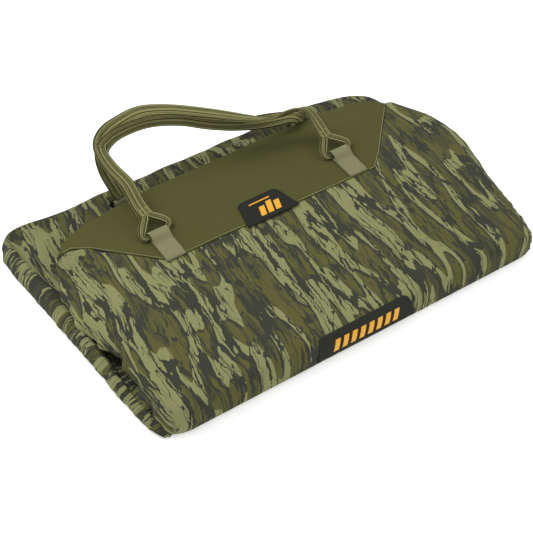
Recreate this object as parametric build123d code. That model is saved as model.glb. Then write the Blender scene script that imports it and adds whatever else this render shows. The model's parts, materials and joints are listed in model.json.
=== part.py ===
from build123d import *
import os

# Folding layout blind, folded for carrying: three hinged frame sections lie on
# one another in a Z. The head section lies on the ground, the seat section is
# hinged to it at the back edge, and the leg section is hinged to the seat
# section at the front edge. Millimetres, +Z up, +Y towards the carry handles,
# origin on the ground in the middle of the bundle.

# ---- overall sizes ----
railX = 480.0            # half distance between the side rails
backPivotY = 300.0       # back fold axis
frontPivotY = -320.0     # front fold axis
levelGap = 6.0           # between one section's tubes and the next one's
sheetT = 2.5             # ground sheet

# ---- tube and fittings ----
tubeR = 10.0
tubeWall = 1.5
boreR = tubeR - tubeWall
sleeveWall = 1.5
sleeveR = tubeR + sleeveWall
sleeveLength = 34.0
plugLength = 22.0
rivetR = 2.0
rivetHeadR = 3.6
rivetHeadT = 0.9

# ---- hinge knuckles ----
railGap = 16.0           # from the end of a rail to the fold axis
collarLength = 5.6
pinR = 4.0
eyeWall = 5.5
eyeR = pinR + eyeWall
webHeight = 15.0
pinClearance = 0.05
tongueWidth = 8.0
tongueSideGap = 0.2
knuckleWidth = 20.0
pinHeadR = pinR + 2.4
pinHeadT = 1.6

# ---- cloth, pads ----
groundFront = frontPivotY + 4.0
groundBack = backPivotY - 4.0
rollInner = railX + 17.0     # side wall rolls, inner face
groundHalf = rollInner
rollBackOuter = railX + 105.0
rollMiddleOuter = railX + 80.0
rollFrontOuter = railX + 44.0
rollFront = frontPivotY + 14.0
rollBack = backPivotY + 26.0
rollTop = 56.0
rollRound = 11.0
coverT = 14.5            # quilted leg cover
skinT = 1.6              # fold skins
frontBulge = 16.0
frontSkinLow = 6.0
backBulge = 58.0
backSkinHigh = 60.0
padHalf = railX - 44.0
headrestHalf = 280.0
padT = 9.0
headrestT = 17.0
seatPadT = 15.0

# ---- leg cover outline and olive panel ----
coverFrontHalf = railX + 25.0
coverSideHalf = railX + 88.0
coverFrontY = frontPivotY - 11.0
coverShoulderY = -120.0
coverSideY = 130.0
toeInset = 34.0          # toe bar ahead of the back fold axis
seamY = 36.0             # front seam of the olive panel
seamHalf = 297.0
tipX = railX + 14.0
tipY = 190.0
lipOverhang = 1.5
lipHalf = railX - 78.0
fillEdge = 5.0

# ---- carry handles ----
tabX = 263.0             # tab centres, both handles
tabWidth = 50.8          # 2 in webbing
tabT = 2.4
barR = 5.0
barClearance = 0.06
tabFoldR = barR + tabT + 0.1   # outside of the fold round the handle bar
frontTabY = 125.0
frontTabTail = 87.0
frontLean = 31.0         # rest angle above the panel
rearTabLift = 33.0       # rear tab axis above the seat bars
rearLean = 69.0
strapWidth = 34.0        # two ribbed runs side by side
strapT = 9.0
eyeHalf = 37.0
frontEyeHeight = 46.0
rearEyeHeight = 40.0
legR = 4.6

# ---- patches ----
patchT = 2.0
patchBase, patchTop, patchDepth = 147.0, 111.0, 80.0
patchX, patchY = 2.0, 66.0
labelBase, labelTop, labelHeight = 275.0, 247.0, 46.0
labelT = 1.6

# ---- doors ----
rodR = 4.0
doorPivotX = railX - 22.0
doorRise = 4.0
doorReach = 285.0
doorBack = -5.0
doorFront = frontPivotY + 58.0
doorFoot = 13.0
doorBend = 24.0
doorClothT = 1.4

sectionPitch = 2 * tubeR + levelGap
headZ = sheetT + sleeveR
doorZ = headZ + doorRise
seatZ = headZ + sectionPitch
legZ = seatZ + sectionPitch
backPivotZ = (headZ + seatZ) / 2
frontPivotZ = (seatZ + legZ) / 2
railBack = backPivotY - railGap
railFront = frontPivotY + railGap
coverBottom = legZ + sleeveR
coverTop = coverBottom + coverT
headBarY = frontPivotY + 26.0
toeBarY = backPivotY - toeInset
lipY = toeBarY + tubeR + lipOverhang

parts = {}


def tubeX(y, z, x0, x1, r=tubeR, bore=boreR):
    body = Pos((x0 + x1) / 2, y, z) * Rot(0, 90, 0) * Cylinder(r, abs(x1 - x0))
    return body - Pos((x0 + x1) / 2, y, z) * Rot(0, 90, 0) * Cylinder(bore, abs(x1 - x0) + 2)


def tubeY(x, z, y0, y1, r=tubeR, bore=boreR):
    body = Pos(x, (y0 + y1) / 2, z) * Rot(90, 0, 0) * Cylinder(r, abs(y1 - y0))
    return body - Pos(x, (y0 + y1) / 2, z) * Rot(90, 0, 0) * Cylinder(bore, abs(y1 - y0) + 2)


def rodX(y, z, x0, x1, r):
    return Pos((x0 + x1) / 2, y, z) * Rot(0, 90, 0) * Cylinder(r, abs(x1 - x0))


def rodY(x, z, y0, y1, r):
    return Pos(x, (y0 + y1) / 2, z) * Rot(90, 0, 0) * Cylinder(r, abs(y1 - y0))


def rivet(x, y, z):
    shank = Pos(x, y, z) * Cylinder(rivetR, 2 * tubeR)
    heads = [Pos(x, y, z + s * (tubeR + rivetHeadT / 2 - 0.3)) * Cylinder(rivetHeadR, rivetHeadT + 0.6)
             for s in (-1, 1)]
    return shank + heads[0] + heads[1]


def rivetHole(x, y, z):
    return rivet(x, y, z)


def rail(side, z, y0, y1, rivets):
    body = tubeY(side * railX, z, y0, y1)
    for y in rivets:
        body -= rivetHole(side * railX, y, z)
    return body


def tee(side, y, z):
    # sleeve round the rail with a plug into the cross bar
    sleeve = tubeY(side * railX, z, y - sleeveLength / 2, y + sleeveLength / 2, sleeveR, tubeR)
    plug = rodX(y, z, side * (railX - sleeveR - plugLength), side * (railX - tubeR - 0.6), boreR)
    plug -= rodY(side * railX, z, y - 20, y + 20, tubeR)
    return sleeve + plug


def crossBar(y, z):
    return tubeX(y, z, -(railX - sleeveR), railX - sleeveR)


def elbow(side, y, z, inward):
    # corner fitting: plugs into the rail and into the end bar
    corner = Pos(side * railX, y, z) * Sphere(tubeR)
    corner += rodX(y, z, side * (railX - 14), side * railX, tubeR)
    corner += rodY(side * railX, z, y, y + inward * 14, tubeR)
    corner += rodX(y, z, side * (railX - 14 - plugLength), side * (railX - 13), boreR)
    corner += rodY(side * railX, z, y + inward * 13, y + inward * (14 + plugLength), boreR)
    return corner


def endBar(y, z):
    return tubeX(y, z, -(railX - 14), railX - 14)


def knuckle(side, end, railEnd, pivotY, railHeight, pivotZ, ears):
    # moulded end of a rail: plug, collar, and the eye plate or the two ear plates
    x = side * railX
    up = 1 if pivotZ > railHeight else -1
    webPlane = Plane(origin=(x, pivotY, pivotZ), x_dir=(0, end, 0), z_dir=(-end, 0, 0))
    sign = webPlane.y_dir.Z * up
    webDrop = sectionPitch / 2 + tubeR - webHeight / 2
    web = Pos(-(railGap - collarLength / 2), -sign * webDrop) * Rectangle(collarLength, webHeight)
    outline = make_hull((Circle(eyeR) + web).edges())
    plate = webPlane * outline
    if ears:
        slot = tongueWidth + 2 * tongueSideGap
        body = extrude(plate, knuckleWidth / 2, both=True)
        body -= Pos(x, pivotY, pivotZ) * Box(slot, 2 * (railGap - collarLength), 80)
        body -= Pos(x, pivotY, railHeight + up * (tubeR + 20)) * Box(slot, 2 * railGap + 4, 40)
    else:
        body = extrude(plate, tongueWidth / 2, both=True)
    body += rodY(x, railHeight, railEnd, railEnd + end * collarLength, tubeR)
    body += rodY(x, railHeight, railEnd - end * plugLength, railEnd, boreR)
    bore = pinR + (0 if ears else pinClearance)
    body -= rodX(pivotY, pivotZ, x - 20, x + 20, bore)
    body -= rivetHole(x, railEnd - end * 12, railHeight)
    return body


def hingePin(side, y, z):
    x = side * railX
    half = knuckleWidth / 2
    pin = rodX(y, z, x - half, x + half, pinR)
    for s in (-1, 1):
        pin += rodX(y, z, x + s * half, x + s * (half + pinHeadT), pinHeadR)
    return pin


def both(make):
    return Compound(children=[make(-1), make(1)])


def mirrored(solid):
    return mirror(solid, about=Plane.YZ)


# ---- head section: on the ground ----
headRivets = [railBack - 12]
legRivets = [railFront + 12]
seatRivets = [railFront + 12, railBack - 12]
headTeeY = 62.0
seatTeeY = (frontPivotY + 58, backPivotY - 50)
legTeeY = -20.0

parts["ground_sheet"] = Pos(0, (groundFront + groundBack) / 2, sheetT / 2) * Box(
    2 * groundHalf, groundBack - groundFront, sheetT)
parts["head_rail_left"] = rail(-1, headZ, headBarY + 14, railBack, headRivets)
parts["head_rail_right"] = rail(1, headZ, headBarY + 14, railBack, headRivets)
parts["head_end_bar"] = endBar(headBarY, headZ)
parts["head_cross_bar"] = crossBar(headTeeY, headZ)
parts["head_tees"] = both(lambda s: tee(s, headTeeY, headZ))
parts["head_elbows"] = both(lambda s: elbow(s, headBarY, headZ, 1))
parts["head_knuckles"] = both(lambda s: knuckle(s, 1, railBack, backPivotY, headZ, backPivotZ, True))
parts["head_rivets"] = both(lambda s: rivet(s * railX, headRivets[0], headZ))
parts["back_hinge_pins"] = both(lambda s: hingePin(s, backPivotY, backPivotZ))

backrest = Pos(0, (headBarY + tubeR + headTeeY - tubeR) / 2, sheetT + padT / 2) * Box(
    2 * padHalf, headTeeY - headBarY - 2 * tubeR - 4, padT)
parts["backrest_pad"] = fillet(backrest.edges().filter_by(Axis.Z), 30)
headrest = Pos(0, (headTeeY + tubeR + railBack) / 2 - 4, sheetT + headrestT / 2) * Box(
    2 * headrestHalf, railBack - headTeeY - tubeR - 26, headrestT)
parts["headrest_pad"] = fillet(headrest.edges().filter_by(Axis.Z), 40)


def sideRoll():
    # rolled side wall, narrower towards the front fold
    outline = make_face(Polyline(
        (rollInner, rollFront), (rollFrontOuter, rollFront), (rollMiddleOuter, -60),
        (rollBackOuter, rollBack), (rollInner, rollBack), close=True))
    body = extrude(outline, rollTop)
    outer = body.edges().filter_by(lambda e: e.center().X > rollFrontOuter and abs(e.tangent_at(0.5).Y) > 0.5)
    return fillet(outer, rollRound)


roll = sideRoll()
parts["side_wall_right"] = roll
parts["side_wall_left"] = mirrored(roll)


def arcSkin(y0, zLow, zHigh, bulge, out):
    # half-elliptic strip of cloth round a fold, seen along X
    mid, half = (zLow + zHigh) / 2, (zHigh - zLow) / 2
    outer = Ellipse(bulge, half)
    inner = Ellipse(bulge - skinT, half - skinT)
    ring = outer - inner - Pos(-out * bulge, 0) * Rectangle(2 * bulge, 4 * half)
    plane = Plane(origin=(0, y0, mid), x_dir=(0, 1, 0), z_dir=(1, 0, 0))
    return extrude(plane * ring, railX + 8, both=True)


parts["back_fold_skin"] = arcSkin(groundBack, 0.0, backSkinHigh, backBulge, 1)

# ---- doors on the head section ----


def doorHoop():
    inner = doorPivotX - doorReach
    path = FilletPolyline(
        (doorPivotX, doorFront - doorFoot, doorZ), (doorPivotX, doorFront, doorZ),
        (inner, doorFront, doorZ), (inner, doorBack, doorZ), (doorPivotX, doorBack, doorZ),
        (doorPivotX, doorBack + doorFoot, doorZ), radius=6.5)
    section = Plane(origin=path @ 0, z_dir=path % 0) * Circle(rodR)
    return sweep(section, path=path)


def doorCloth():
    inner = doorPivotX - doorReach
    body = Pos((inner + doorPivotX) / 2 - 5, (doorFront + doorBack) / 2, doorZ + rodR + doorClothT / 2)
    return fillet((body * Box(doorReach + 2, doorBack - doorFront + 8, doorClothT)).edges().filter_by(Axis.Z), 10)


def doorBrackets(side):
    found = []
    for y in (doorFront - doorFoot + 3, doorBack + doorFoot - 3):
        block = Pos(side * (doorPivotX + 7), y, doorZ - 1.5) * Box(26, 6, 15)
        block -= rodY(side * railX, headZ, y - 10, y + 10, tubeR)
        block -= rodY(side * doorPivotX, doorZ, y - 10, y + 10, rodR + pinClearance)
        found.append(block)
    return found


hoop = doorHoop()
cloth = doorCloth()
parts["door_hoop_right"] = hoop
parts["door_hoop_left"] = mirrored(hoop)
parts["door_cloth_right"] = cloth
parts["door_cloth_left"] = mirrored(cloth)
parts["door_brackets"] = Compound(children=doorBrackets(-1) + doorBrackets(1))

# ---- seat section: in the middle ----
for name, side in (("left", -1), ("right", 1)):
    parts["seat_rail_" + name] = rail(side, seatZ, railFront, railBack, seatRivets)
parts["seat_front_bar"] = crossBar(seatTeeY[0], seatZ)
parts["seat_back_bar"] = crossBar(seatTeeY[1], seatZ)
parts["seat_tees"] = Compound(children=[tee(s, y, seatZ) for s in (-1, 1) for y in seatTeeY])
parts["seat_back_knuckles"] = both(lambda s: knuckle(s, 1, railBack, backPivotY, seatZ, backPivotZ, False))
parts["seat_front_knuckles"] = both(lambda s: knuckle(s, -1, railFront, frontPivotY, seatZ, frontPivotZ, True))
parts["front_hinge_pins"] = both(lambda s: hingePin(s, frontPivotY, frontPivotZ))
parts["seat_rivets"] = Compound(children=[rivet(s * railX, y, seatZ) for s in (-1, 1) for y in seatRivets])
seatPad = Pos(0, (seatTeeY[0] + seatTeeY[1]) / 2, seatZ) * Box(
    2 * (railX - tubeR - 14), seatTeeY[1] - seatTeeY[0] - 2 * tubeR - 0.4, seatPadT)
parts["seat_pad"] = fillet(seatPad.edges().filter_by(Axis.Z), 30)

rearTabZ = seatZ + rearTabLift
rearTabY = backPivotY - 16 + tabFoldR


def rearTab(side):
    # webbing from the seat section's back bar up behind the leg section's lip
    x = side * tabX
    strap = Pos(x, rearTabY - tabFoldR + tabT / 2, (seatZ + rearTabZ) / 2 - 3) * Box(
        tabWidth, tabT, rearTabZ - seatZ + 6)
    foot = Pos(x, (seatTeeY[1] + tubeR + rearTabY - tabFoldR + tabT) / 2 - 1, seatZ - 6 + tabT / 2) * Box(
        tabWidth, rearTabY - tabFoldR + tabT - seatTeeY[1] - tubeR + 2, tabT)
    foot -= rodX(seatTeeY[1], seatZ, x - 60, x + 60, tubeR)
    fold = tubeX(rearTabY, rearTabZ, x - tabWidth / 2, x + tabWidth / 2, tabFoldR, barR + barClearance)
    hole = rodX(rearTabY, rearTabZ, x - 60, x + 60, barR + barClearance)
    return (strap - hole) + foot + fold


parts["rear_tabs"] = both(rearTab)

# ---- leg section: on top ----
for name, side in (("left", -1), ("right", 1)):
    parts["leg_rail_" + name] = rail(side, legZ, railFront, toeBarY - 14, legRivets)
parts["leg_toe_bar"] = endBar(toeBarY, legZ)
parts["leg_cross_bar"] = crossBar(legTeeY, legZ)
parts["leg_tees"] = both(lambda s: tee(s, legTeeY, legZ))
parts["leg_elbows"] = both(lambda s: elbow(s, toeBarY, legZ, -1))
parts["leg_knuckles"] = both(lambda s: knuckle(s, -1, railFront, frontPivotY, legZ, frontPivotZ, False))
parts["leg_rivets"] = both(lambda s: rivet(s * railX, legRivets[0], legZ))

coverOutline = [
    (-coverFrontHalf, coverFrontY), (coverFrontHalf, coverFrontY), (coverFrontHalf + 26, coverShoulderY),
    (coverSideHalf, 0), (coverSideHalf, coverSideY), (tipX, tipY), (seamHalf, seamY), (-seamHalf, seamY),
    (-tipX, tipY), (-coverSideHalf, coverSideY), (-coverSideHalf, 0), (-coverFrontHalf - 26, coverShoulderY)]
cover = extrude(Pos(0, 0, coverBottom) * make_face(Polyline(*coverOutline, close=True)), coverT)
coverEdges = cover.faces().sort_by(Axis.Z)[-1].edges().filter_by(
    lambda e: not (seamY - 1 < e.center().Y < tipY and abs(e.center().X) < tipX - 1))
parts["leg_cover"] = fillet(coverEdges, fillEdge)
toeOutline = [(-seamHalf, seamY), (seamHalf, seamY), (tipX, tipY), (lipHalf, lipY), (-lipHalf, lipY), (-tipX, tipY)]
parts["toe_panel"] = extrude(Pos(0, 0, coverBottom) * make_face(Polyline(*toeOutline, close=True)), coverT)


def trapezoid(base, top, depth, corner):
    face = make_face(Polyline((-base / 2, -depth / 2), (base / 2, -depth / 2),
                              (top / 2, depth / 2), (-top / 2, depth / 2), close=True))
    upper = face.vertices().sort_by(Axis.Y)[-2:]
    return fillet(upper, corner)


parts["toe_patch"] = extrude(
    Pos(patchX, patchY, coverTop) * trapezoid(patchBase, patchTop, patchDepth, 12), patchT)


def frontTab(side):
    x = side * tabX
    axisZ = coverTop + tabFoldR
    strap = Pos(x, frontTabY - frontTabTail / 2, coverTop + tabT / 2) * Box(tabWidth, frontTabTail, tabT)
    fold = tubeX(frontTabY, axisZ, x - tabWidth / 2, x + tabWidth / 2, tabFoldR, barR + barClearance)
    hole = rodX(frontTabY, axisZ, x - 60, x + 60, barR + barClearance)
    return (strap - hole) + fold


parts["front_tabs"] = both(frontTab)
frontSkinHigh = coverTop - fillEdge
parts["front_fold_skin"] = arcSkin(coverFrontY, frontSkinLow, frontSkinHigh, frontBulge, -1)
labelPlane = Plane(origin=(0, coverFrontY - frontBulge, (frontSkinLow + frontSkinHigh) / 2),
                   x_dir=(1, 0, 0), z_dir=(0, -1, 0))
parts["front_label"] = extrude(labelPlane * trapezoid(labelBase, labelTop, labelHeight, 8), labelT)

# ---- carry handles ----


def handle(axisY, axisZ, lean, corners, bend):
    # twin-run webbing: a bar through each tab fold, an eye, and the grip in one leaning plane
    plane = Plane(origin=(0, axisY, axisZ), x_dir=(1, 0, 0), z_dir=Vector(0, -1, 0).rotate(Axis.X, lean - 90))
    path = plane * FilletPolyline(*corners, radius=bend)
    start = Plane(origin=path @ 0, x_dir=plane.z_dir, z_dir=path % 0)
    body = sweep(start * SlotOverall(strapWidth, strapT, rotation=90), path=path)
    for side in (-1, 1):
        x = side * tabX
        body += rodX(axisY, axisZ, x - eyeHalf, x + eyeHalf, barR)
        apex = corners[0] if side < 0 else corners[-1]
        for s in (-1, 1):
            leg = plane * Polyline((x + s * eyeHalf, 0), (apex[0] + s * (strapWidth / 2 - 5.0), apex[1] + 2))
            cut = Plane(origin=leg @ 0, z_dir=leg % 0)
            body += sweep(cut * Circle(legR), path=leg)
            body += plane * Pos(x + s * eyeHalf, 0, 0) * Sphere(barR)
    return body


parts["front_handle"] = handle(
    frontTabY, coverTop + tabFoldR, frontLean,
    [(-tabX, frontEyeHeight), (-316, 292), (-170, 303), (105, 170), (292, 140), (tabX, frontEyeHeight)], 30.0)
parts["rear_handle"] = handle(
    rearTabY, rearTabZ, rearLean,
    [(-tabX, rearEyeHeight), (-298, 126), (-90, 134), (110, 86), (238, 84), (tabX, rearEyeHeight)], 20.0)

os.makedirs("parts", exist_ok=True)
for name, solid in parts.items():
    solid.label = name
    export_step(solid, os.path.join("parts", name + ".step"))
print(len(parts), "parts")
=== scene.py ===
import bpy
import json
import math
import numpy as np
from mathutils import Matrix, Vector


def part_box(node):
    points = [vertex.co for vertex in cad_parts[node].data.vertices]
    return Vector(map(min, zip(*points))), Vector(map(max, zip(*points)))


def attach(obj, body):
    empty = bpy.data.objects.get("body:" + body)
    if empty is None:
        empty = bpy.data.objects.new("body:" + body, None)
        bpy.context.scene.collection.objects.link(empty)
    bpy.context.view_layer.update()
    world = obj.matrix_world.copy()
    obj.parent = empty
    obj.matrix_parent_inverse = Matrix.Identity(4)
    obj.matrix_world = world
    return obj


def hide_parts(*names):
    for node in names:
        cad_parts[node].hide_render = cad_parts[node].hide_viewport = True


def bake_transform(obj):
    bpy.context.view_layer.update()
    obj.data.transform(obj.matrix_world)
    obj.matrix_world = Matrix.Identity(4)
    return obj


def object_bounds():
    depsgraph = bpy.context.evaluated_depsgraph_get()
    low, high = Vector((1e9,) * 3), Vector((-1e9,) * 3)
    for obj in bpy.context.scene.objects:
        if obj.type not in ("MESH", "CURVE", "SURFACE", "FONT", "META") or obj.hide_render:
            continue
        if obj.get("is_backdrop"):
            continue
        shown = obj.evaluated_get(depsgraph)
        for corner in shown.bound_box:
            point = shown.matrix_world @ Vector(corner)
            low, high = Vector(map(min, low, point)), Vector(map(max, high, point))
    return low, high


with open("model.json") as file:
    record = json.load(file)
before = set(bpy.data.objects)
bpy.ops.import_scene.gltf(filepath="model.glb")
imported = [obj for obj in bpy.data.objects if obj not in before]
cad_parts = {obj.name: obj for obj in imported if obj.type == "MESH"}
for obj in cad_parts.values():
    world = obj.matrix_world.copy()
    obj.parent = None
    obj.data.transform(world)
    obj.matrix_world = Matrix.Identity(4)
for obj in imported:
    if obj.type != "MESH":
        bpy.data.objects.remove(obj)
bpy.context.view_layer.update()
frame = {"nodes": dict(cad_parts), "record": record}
print("frame loaded")


# shapes: sizes are metres, and a surface is an array of rows by columns of points
def ease(t):
    # 3 t squared less 2 t cubed, held between 0 and 1
    t = np.clip(t, 0.0, 1.0)
    return t * t * (3 - 2 * t)


def hill(x, centre, width):
    # bell curve: e to the minus square of the distance from the centre in widths
    return np.exp(-((x - centre) / width) ** 2)


def waves(x, y, seed, count, low, high):
    # sum of slow sine waves in random directions, for cloth that is not quite flat
    rng = np.random.default_rng(seed)
    total = np.zeros(np.broadcast(x, y).shape)
    for k in range(count):
        turn = rng.uniform(0, math.pi)
        size = rng.uniform(low, high)
        shift = rng.uniform(0, 2 * math.pi)
        total += np.sin((x * math.cos(turn) + y * math.sin(turn)) * 2 * math.pi / size + shift)
    return total / math.sqrt(count)


def unit(v):
    # each vector divided by its length
    return v / np.maximum(np.linalg.norm(v, axis=-1, keepdims=True), 1e-12)


def runLength(points):
    # distance along the line to each of its points
    steps = np.linalg.norm(np.diff(points, axis=0), axis=-1)
    return np.concatenate([[0.0], np.cumsum(steps)])


def resample(points, count, closed=False):
    # count points at even distances along the line
    pts = np.vstack([points, points[:1]]) if closed else points
    run = runLength(pts)
    at = np.linspace(0, run[-1], count, endpoint=not closed)
    return readAt(at, run, pts)


def readAt(at, run, points):
    # each column of points read between rows at the given distances
    return np.column_stack([np.interp(at, run, points[:, k]) for k in range(points.shape[1])])


def rounded(points, times=3):
    # corner cutting: each corner is replaced by points a quarter along its two sides
    pts = np.asarray(points, float)
    for k in range(times):
        cur, nxt = pts[:-1], pts[1:]
        cut = np.stack([cur * 0.75 + nxt * 0.25, cur * 0.25 + nxt * 0.75], axis=1).reshape(-1, pts.shape[1])
        pts = np.vstack([pts[:1], cut, pts[-1:]])
    return pts


def through(points, count):
    # smooth cubic through the given rows, the same number of steps between each pair
    pts = np.asarray(points, float)
    slope = np.gradient(pts, axis=0)
    at = np.linspace(0, len(pts) - 1, count)
    i = np.minimum(at.astype(int), len(pts) - 2)
    f = (at - i).reshape((-1,) + (1,) * (pts.ndim - 1))
    return (pts[i] * (2 * f ** 3 - 3 * f ** 2 + 1) + slope[i] * (f ** 3 - 2 * f ** 2 + f)
            + pts[i + 1] * (3 * f ** 2 - 2 * f ** 3) + slope[i + 1] * (f ** 3 - f ** 2))


def loft(table, rows, cols):
    # smooth surface through a table of stations, each a line of points
    return through(through(table, rows).swapaxes(0, 1), cols).swapaxes(0, 1)


def gridNormals(points):
    # unit cross product of the steps along a row and down a column
    du, dv = np.gradient(points, axis=1), np.gradient(points, axis=0)
    return unit(np.cross(du, dv))


def linked(name, data):
    # an object at the origin, put in the scene
    made = bpy.data.objects.new(name, data)
    bpy.context.scene.collection.objects.link(made)
    return made


def meshPiece(name, points, faces, material, smooth=True):
    # a piece from its points and faces
    mesh = bpy.data.meshes.new(name)
    mesh.from_pydata(points, [], faces)
    mesh.materials.append(material)
    mesh.polygons.foreach_set("use_smooth", np.full(len(faces), smooth))
    mesh.update()
    return linked(name, mesh)


def gridPiece(name, points, uv, material, closed=False, loop=False, thick=0.0, side=-1.0):
    # quads between rows and columns; closed joins the last column to the first, and loop the last row to the
    # first; thick gives the cloth a wall, inwards at side -1, outwards at 1 and both ways at 0
    rows, cols = points.shape[:2]
    r = np.arange(rows if loop else rows - 1)
    c = np.arange(cols if closed else cols - 1)
    rr, cc = np.meshgrid(r, c, indexing="ij")
    r2, c2 = (rr + 1) % rows, (cc + 1) % cols
    faces = np.stack([rr * cols + cc, rr * cols + c2, r2 * cols + c2, r2 * cols + cc], axis=-1).reshape(-1, 4)
    piece = meshPiece(name, points.reshape(-1, 3).tolist(), faces.tolist(), material)
    corner = np.stack([uv[rr, cc], uv[rr, cc + 1], uv[rr + 1, cc + 1], uv[rr + 1, cc]], axis=2).reshape(-1, 2)
    piece.data.uv_layers.new(name="UVMap").data.foreach_set("uv", corner.astype(np.float32).ravel())
    if thick:
        shell = piece.modifiers.new("thickness", "SOLIDIFY")
        shell.thickness, shell.offset = thick, side
    return piece


def sheetUv(points):
    # metres along the cloth: across from the middle column, along from the first row
    across = np.linalg.norm(np.diff(points, axis=1), axis=2)
    along = np.linalg.norm(np.diff(points, axis=0), axis=2)
    u = np.concatenate([np.zeros((points.shape[0], 1)), np.cumsum(across, axis=1)], axis=1)
    u -= u[:, points.shape[1] // 2][:, None]
    v = np.concatenate([np.zeros((1, points.shape[1])), np.cumsum(along, axis=0)], axis=0)
    return np.stack([u, v], axis=2)


def gridUv(u, v):
    # one u for each column or row and one v for each, spread over the whole grid
    return np.stack(np.broadcast_arrays(u, v), axis=2)


# materials: patterns are laid out in metres of cloth, read from each piece's own map
def hexColour(code):
    # linear red, green, blue and alpha of an sRGB hex colour
    parts = [int(code[k:k + 2], 16) / 255 for k in (0, 2, 4)]
    return [c / 12.92 if c <= 0.04045 else ((c + 0.055) / 1.055) ** 2.4 for c in parts] + [1.0]


def node(tree, kind, inputs=(), out=0, **settings):
    # adds one node and gives one of its outputs; kind is its type, with an operation after a dot, and inputs
    # go in order or by key, where a socket is linked
    kind, _, operation = kind.partition(".")
    made = tree.nodes.new("ShaderNode" + kind)
    if operation:
        made.operation = operation
    for key, value in settings.items():
        setattr(made, key, value)
    for key, value in inputs.items() if isinstance(inputs, dict) else enumerate(inputs):
        if isinstance(value, bpy.types.NodeSocket):
            tree.links.new(value, made.inputs[key])
        else:
            made.inputs[key].default_value = value
    return made.outputs[out]


def newMaterial(name, rough, sheen=0.0):
    # a principled shader; what is rougher than moulded plastic has hardly any clear reflection
    material = bpy.data.materials.new(name)
    material.use_nodes = True
    tree = material.node_tree
    shader = tree.nodes["Principled BSDF"]
    for key, value in (("Roughness", rough), ("Sheen Weight", sheen), ("Sheen Roughness", 0.5),
                       ("Specular IOR Level", 0.5 if rough < 0.7 else 0.06)):
        shader.inputs[key].default_value = value
    return material, tree, shader


def finished(tree, shader, colour, tint, height, depth):
    # base colour is the colour times the tint, and the surface is raised by height times depth
    shaded = node(tree, "VectorMath.SCALE", {0: colour, "Scale": tint})
    tree.links.new(shaded, shader.inputs["Base Color"])
    tree.links.new(node(tree, "Bump", {"Height": height, "Distance": depth}), shader.inputs["Normal"])


def clouds(tree, place, perMetre, detail, rough=0.5, out=0):
    # cloudy values about 0.5, with so many patches to the metre along each axis
    stretched = node(tree, "VectorMath.MULTIPLY", (place, perMetre))
    return node(tree, "TexNoise", {"Vector": stretched, "Scale": 1.0, "Detail": detail, "Roughness": rough},
                out)


def weave(tree, place, size, depth):
    # plain weave: product of two waves across and along the cloth, size in metres per thread pair
    both = []
    for axis in (0, 1):
        at = node(tree, "Math.MULTIPLY", (node(tree, "SeparateXYZ", (place,), axis), 2 * math.pi / size))
        both.append(node(tree, "Math.SINE", (at,)))
    crossed = node(tree, "Math.MULTIPLY", both)
    return node(tree, "Math.MULTIPLY", (crossed, depth))


def clothHeight(tree, uv, grain, creasesPerMetre, threadPair, puff):
    # threads, plus 0.6 of the grain, plus soft creases times puff
    threads = weave(tree, uv, threadPair, 0.35)
    fine = node(tree, "Math.ADD", (threads, node(tree, "Math.MULTIPLY", (grain, 0.6))))
    creases = clouds(tree, uv, creasesPerMetre, 3.0, 0.55)
    return node(tree, "Math.MULTIPLY_ADD", (creases, puff, fine))


def jittered(tree, place, perMetre, detail, reach):
    # moves each point by clouds read there, up to about half of reach each way
    push = clouds(tree, place, perMetre, detail, out=1)
    by = node(tree, "VectorMath.SUBTRACT", (push, (0.5, 0.5, 0.5)))
    return node(tree, "VectorMath.MULTIPLY_ADD", (by, reach, place))


def fromMiddle(tree, value):
    # distance of the value from 0.5, small along the winding lines where clouds cross their middle
    return node(tree, "Math.ABSOLUTE", (node(tree, "Math.SUBTRACT", (value, 0.5)),))


def barkLines(tree, place, perMetre, detail, width):
    # 1 where clouds lie within width of their middle
    lines = fromMiddle(tree, clouds(tree, place, perMetre, detail))
    return node(tree, "Math.LESS_THAN", (lines, width))


camo = dict(sage="7F8157", charcoal="383A30", ground="565530", groundDark="3D3F33", vein=(16.0, 3.3, 1.0),
            bend=(0.060, 0.020, 0.0), ragged=(0.013, 0.026, 0.0), rim=(0.0048, 0.005, 0.0), threadPair=0.0011)


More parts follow.
